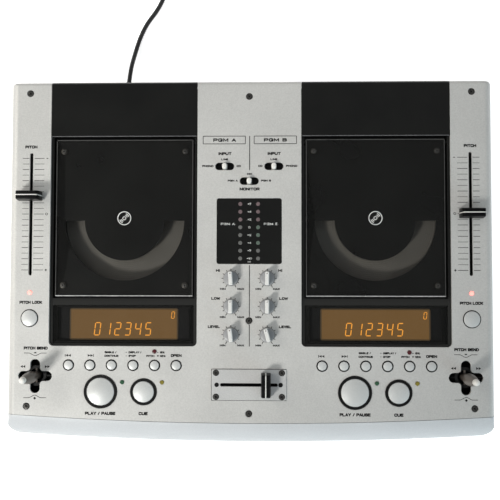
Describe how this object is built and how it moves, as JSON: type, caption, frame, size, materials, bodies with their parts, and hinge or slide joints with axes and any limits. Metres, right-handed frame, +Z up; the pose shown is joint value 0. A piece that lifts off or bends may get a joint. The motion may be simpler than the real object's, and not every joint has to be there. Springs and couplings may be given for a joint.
{
  "type": "dual cd player for dj",
  "caption": "Tabletop disc jockey console: lidded disc decks, displays, transport buttons, pitch faders and joysticks round a mixer with knobs, switches and a crossfader.",
  "frame": {"origin": "under the middle of the case, on the surface that the feet stand on", "axes": "+X to the user's right, +Y to the rear with the jacks, +Z up"},
  "size_m": [0.43, 0.504, 0.1287],
  "materials": {
    "silver_cover": "fine metallic paint, satin",
    "silver_bezel": "silver paint, satin gloss",
    "tray_steel": "black powder coat",
    "rubber_feet": "matte",
    "screw_steel": "black oxide",
    "deck_black": "gloss moulding",
    "smoked_window": "smoked gloss acrylic",
    "drive_steel": "zinc plated",
    "motor_metal": "turned and plated",
    "control_black": "fine matte",
    "board_laminate": "green solder mask",
    "fader_plate_silver": "satin",
    "jack_plastic": "fine matte with plated jacks",
    "transformer_iron": "laminated core and wound bobbin",
    "cord_rubber": "satin sheath",
    "plug_rubber": "matte moulding",
    "lid_black": "satin gloss moulding",
    "lid_acrylic": "smoked gloss acrylic with a clear half ring",
    "hub_plastic": "matte with a rubber face",
    "pickup_plastic": "matte with a coated lens",
    "fader_black": "soft matte with a white line",
    "lever_white": "satin",
    "stick_grey": "satin with a pale tip",
    "gimbal_black": "matte",
    "knob_grey": "satin with a white ridge",
    "button_pearl": "pearl satin"
  },
  "bodies": {
    "housing": {"base_tray": "tray_steel", "case_screws": "screw_steel", "circuit_boards": "board_laminate", "control_bodies": "control_black", "cord_coil": "cord_rubber", "crossfader_plate": "fader_plate_silver", "deck_panels": "deck_black", "drive_frames": "drive_steel", "feet": "rubber_feet", "front_bezel": "silver_bezel", "mains_transformer": "transformer_iron", "motors_and_rods": "motor_metal", "power_cord": "cord_rubber", "power_plug": "plug_rubber", "rear_jacks": "jack_plastic", "strain_relief": "plug_rubber", "top_cover": "silver_cover", "windows": "smoked_window"},
    "button_previous_a": {"button_previous_a": "button_pearl"},
    "button_next_a": {"button_next_a": "button_pearl"},
    "button_single_a": {"button_single_a": "button_pearl"},
    "button_display_a": {"button_display_a": "button_pearl"},
    "button_pitch_range_a": {"button_pitch_range_a": "button_pearl"},
    "button_open_a": {"button_open_a": "button_pearl"},
    "button_play_a": {"button_play_a": "button_pearl"},
    "button_cue_a": {"button_cue_a": "button_pearl"},
    "button_pitch_lock_a": {"button_pitch_lock_a": "button_pearl"},
    "knob_hi_a": {"knob_hi_a": "knob_grey"},
    "knob_low_a": {"knob_low_a": "knob_grey"},
    "knob_level_a": {"knob_level_a": "knob_grey"},
    "input_lever_a": {"input_lever_a": "lever_white"},
    "pitch_fader_a": {"pitch_fader_a": "fader_black"},
    "lid_a": {"lid_a": "lid_black", "lid_plate_a": "lid_acrylic"},
    "disc_hub_a": {"disc_hub_a": "hub_plastic"},
    "laser_pickup_a": {"laser_pickup_a": "pickup_plastic"},
    "joystick_gimbal_a": {"joystick_gimbal_a": "gimbal_black"},
    "joystick_stick_a": {"joystick_stick_a": "stick_grey"},
    "button_previous_b": {"button_previous_b": "button_pearl"},
    "button_next_b": {"button_next_b": "button_pearl"},
    "button_single_b": {"button_single_b": "button_pearl"},
    "button_display_b": {"button_display_b": "button_pearl"},
    "button_pitch_range_b": {"button_pitch_range_b": "button_pearl"},
    "button_open_b": {"button_open_b": "button_pearl"},
    "button_play_b": {"button_play_b": "button_pearl"},
    "button_cue_b": {"button_cue_b": "button_pearl"},
    "button_pitch_lock_b": {"button_pitch_lock_b": "button_pearl"},
    "knob_hi_b": {"knob_hi_b": "knob_grey"},
    "knob_low_b": {"knob_low_b": "knob_grey"},
    "knob_level_b": {"knob_level_b": "knob_grey"},
    "input_lever_b": {"input_lever_b": "lever_white"},
    "pitch_fader_b": {"pitch_fader_b": "fader_black"},
    "lid_b": {"lid_b": "lid_black", "lid_plate_b": "lid_acrylic"},
    "disc_hub_b": {"disc_hub_b": "hub_plastic"},
    "laser_pickup_b": {"laser_pickup_b": "pickup_plastic"},
    "joystick_gimbal_b": {"joystick_gimbal_b": "gimbal_black"},
    "joystick_stick_b": {"joystick_stick_b": "stick_grey"},
    "monitor_lever": {"monitor_lever": "lever_white"},
    "crossfader_knob": {"crossfader_knob": "fader_black"}
  },
  "joints": [
    {"name": "press_previous_a", "type": "slide", "parent": "housing", "child": "button_previous_a", "axis": [0, 0, -1], "range_m": [0, 0.0012], "stiffness_N_per_m": 400},
    {"name": "press_next_a", "type": "slide", "parent": "housing", "child": "button_next_a", "axis": [0, 0, -1], "range_m": [0, 0.0012], "stiffness_N_per_m": 400},
    {"name": "press_single_a", "type": "slide", "parent": "housing", "child": "button_single_a", "axis": [0, 0, -1], "range_m": [0, 0.0012], "stiffness_N_per_m": 400},
    {"name": "press_display_a", "type": "slide", "parent": "housing", "child": "button_display_a", "axis": [0, 0, -1], "range_m": [0, 0.0012], "stiffness_N_per_m": 400},
    {"name": "press_pitch_range_a", "type": "slide", "parent": "housing", "child": "button_pitch_range_a", "axis": [0, 0, -1], "range_m": [0, 0.0012], "stiffness_N_per_m": 400},
    {"name": "press_open_a", "type": "slide", "parent": "housing", "child": "button_open_a", "axis": [0, 0, -1], "range_m": [0, 0.0012], "stiffness_N_per_m": 400},
    {"name": "press_play_a", "type": "slide", "parent": "housing", "child": "button_play_a", "axis": [0, 0, -1], "range_m": [0, 0.0012], "stiffness_N_per_m": 400},
    {"name": "press_cue_a", "type": "slide", "parent": "housing", "child": "button_cue_a", "axis": [0, 0, -1], "range_m": [0, 0.0012], "stiffness_N_per_m": 400},
    {"name": "press_pitch_lock_a", "type": "slide", "parent": "housing", "child": "button_pitch_lock_a", "axis": [0, 0, -1], "range_m": [0, 0.0012], "stiffness_N_per_m": 400},
    {"name": "turn_hi_a", "type": "hinge", "parent": "housing", "child": "knob_hi_a", "pos_m": [-0.01607, -0.0152, 0.093], "axis": [0, 0, 1], "range_deg": [-139, 131]},
    {"name": "turn_low_a", "type": "hinge", "parent": "housing", "child": "knob_low_a", "pos_m": [-0.01607, -0.04005, 0.093], "axis": [0, 0, 1], "range_deg": [-135, 135]},
    {"name": "turn_level_a", "type": "hinge", "parent": "housing", "child": "knob_level_a", "pos_m": [-0.01607, -0.0649, 0.093], "axis": [0, 0, 1], "range_deg": [-142, 128]},
    {"name": "slide_input_a", "type": "slide", "parent": "housing", "child": "input_lever_a", "axis": [1, 0, 0], "range_m": [-0.0048, 0.0048]},
    {"name": "slide_pitch_a", "type": "slide", "parent": "housing", "child": "pitch_fader_a", "axis": [0, 1, 0], "range_m": [-0.0658, 0.0342]},
    {"name": "open_lid_a", "type": "hinge", "parent": "housing", "child": "lid_a", "pos_m": [-0.11205, 0.1069, 0.08125], "axis": [-1, 0, 0], "range_deg": [0, 65]},
    {"name": "spin_disc_a", "type": "hinge", "parent": "housing", "child": "disc_hub_a", "pos_m": [-0.11205, 0.0365, 0.0715], "axis": [0, 0, 1], "continuous": true},
    {"name": "track_pickup_a", "type": "slide", "parent": "housing", "child": "laser_pickup_a", "axis": [0, 1, 0], "range_m": [-0.006, 0.024]},
    {"name": "tilt_y_a", "type": "hinge", "parent": "housing", "child": "joystick_gimbal_a", "pos_m": [-0.1896, -0.1019, 0.082], "axis": [1, 0, 0], "range_deg": [-10, 10], "stiffness_Nm_per_rad": 0.05},
    {"name": "tilt_x_a", "type": "hinge", "parent": "joystick_gimbal_a", "child": "joystick_stick_a", "pos_m": [-0.1896, -0.1019, 0.082], "axis": [0, 1, 0], "range_deg": [-10, 10], "stiffness_Nm_per_rad": 0.05},
    {"name": "press_previous_b", "type": "slide", "parent": "housing", "child": "button_previous_b", "axis": [0, 0, -1], "range_m": [0, 0.0012], "stiffness_N_per_m": 400},
    {"name": "press_next_b", "type": "slide", "parent": "housing", "child": "button_next_b", "axis": [0, 0, -1], "range_m": [0, 0.0012], "stiffness_N_per_m": 400},
    {"name": "press_single_b", "type": "slide", "parent": "housing", "child": "button_single_b", "axis": [0, 0, -1], "range_m": [0, 0.0012], "stiffness_N_per_m": 400},
    {"name": "press_display_b", "type": "slide", "parent": "housing", "child": "button_display_b", "axis": [0, 0, -1], "range_m": [0, 0.0012], "stiffness_N_per_m": 400},
    {"name": "press_pitch_range_b", "type": "slide", "parent": "housing", "child": "button_pitch_range_b", "axis": [0, 0, -1], "range_m": [0, 0.0012], "stiffness_N_per_m": 400},
    {"name": "press_open_b", "type": "slide", "parent": "housing", "child": "button_open_b", "axis": [0, 0, -1], "range_m": [0, 0.0012], "stiffness_N_per_m": 400},
    {"name": "press_play_b", "type": "slide", "parent": "housing", "child": "button_play_b", "axis": [0, 0, -1], "range_m": [0, 0.0012], "stiffness_N_per_m": 400},
    {"name": "press_cue_b", "type": "slide", "parent": "housing", "child": "button_cue_b", "axis": [0, 0, -1], "range_m": [0, 0.0012], "stiffness_N_per_m": 400},
    {"name": "press_pitch_lock_b", "type": "slide", "parent": "housing", "child": "button_pitch_lock_b", "axis": [0, 0, -1], "range_m": [0, 0.0012], "stiffness_N_per_m": 400},
    {"name": "turn_hi_b", "type": "hinge", "parent": "housing", "child": "knob_hi_b", "pos_m": [0.01607, -0.0152, 0.093], "axis": [0, 0, 1], "range_deg": [-135, 135]},
    {"name": "turn_low_b", "type": "hinge", "parent": "housing", "child": "knob_low_b", "pos_m": [0.01607, -0.04005, 0.093], "axis": [0, 0, 1], "range_deg": [-135, 135]},
    {"name": "turn_level_b", "type": "hinge", "parent": "housing", "child": "knob_level_b", "pos_m": [0.01607, -0.0649, 0.093], "axis": [0, 0, 1], "range_deg": [-150, 120]},
    {"name": "slide_input_b", "type": "slide", "parent": "housing", "child": "input_lever_b", "axis": [1, 0, 0], "range_m": [-0.0048, 0.0048]},
    {"name": "slide_pitch_b", "type": "slide", "parent": "housing", "child": "pitch_fader_b", "axis": [0, 1, 0], "range_m": [-0.05, 0.05]},
    {"name": "open_lid_b", "type": "hinge", "parent": "housing", "child": "lid_b", "pos_m": [0.11205, 0.1069, 0.08125], "axis": [-1, 0, 0], "range_deg": [0, 65]},
    {"name": "spin_disc_b", "type": "hinge", "parent": "housing", "child": "disc_hub_b", "pos_m": [0.11205, 0.0365, 0.0715], "axis": [0, 0, 1], "continuous": true},
    {"name": "track_pickup_b", "type": "slide", "parent": "housing", "child": "laser_pickup_b", "axis": [0, 1, 0], "range_m": [-0.006, 0.024]},
    {"name": "tilt_y_b", "type": "hinge", "parent": "housing", "child": "joystick_gimbal_b", "pos_m": [0.1896, -0.1019, 0.082], "axis": [1, 0, 0], "range_deg": [-10, 10], "stiffness_Nm_per_rad": 0.05},
    {"name": "tilt_x_b", "type": "hinge", "parent": "joystick_gimbal_b", "child": "joystick_stick_b", "pos_m": [0.1896, -0.1019, 0.082], "axis": [0, 1, 0], "range_deg": [-10, 10], "stiffness_Nm_per_rad": 0.05},
    {"name": "slide_monitor", "type": "slide", "parent": "housing", "child": "monitor_lever", "axis": [1, 0, 0], "range_m": [-0.0048, 0.0048]},
    {"name": "slide_crossfader", "type": "slide", "parent": "housing", "child": "crossfader_knob", "axis": [1, 0, 0], "range_m": [-0.0375, 0.0075]}
  ]
}
